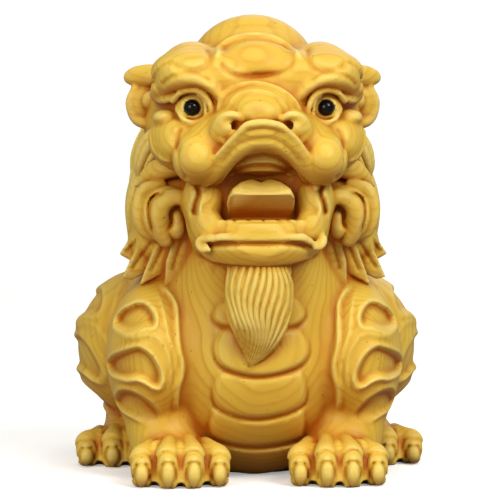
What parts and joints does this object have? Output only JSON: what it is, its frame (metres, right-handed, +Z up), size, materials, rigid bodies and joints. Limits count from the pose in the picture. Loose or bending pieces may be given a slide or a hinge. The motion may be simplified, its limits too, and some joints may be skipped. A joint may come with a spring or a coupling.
{
  "type": "carved wood qilin figurine",
  "caption": "Squat boxwood qilin carved in the round, standing on clawed paws, with an open mouth, a hanging beard, curled mane, scooped leg panels and inlaid black eye beads.",
  "frame": {"origin": "on the floor under the middle of the figure's bounding box", "axes": "+Z up; the face looks along -Y; +X is the figure's own left, on the right of the picture"},
  "size_m": [0.0662, 0.0838, 0.085],
  "materials": {
    "boxwood": "satin",
    "eye_bead": "gloss"
  },
  "bodies": {
    "root": {"carved_qilin": "boxwood", "left_eye_bead": "eye_bead", "right_eye_bead": "eye_bead"}
  },
  "joints": []
}
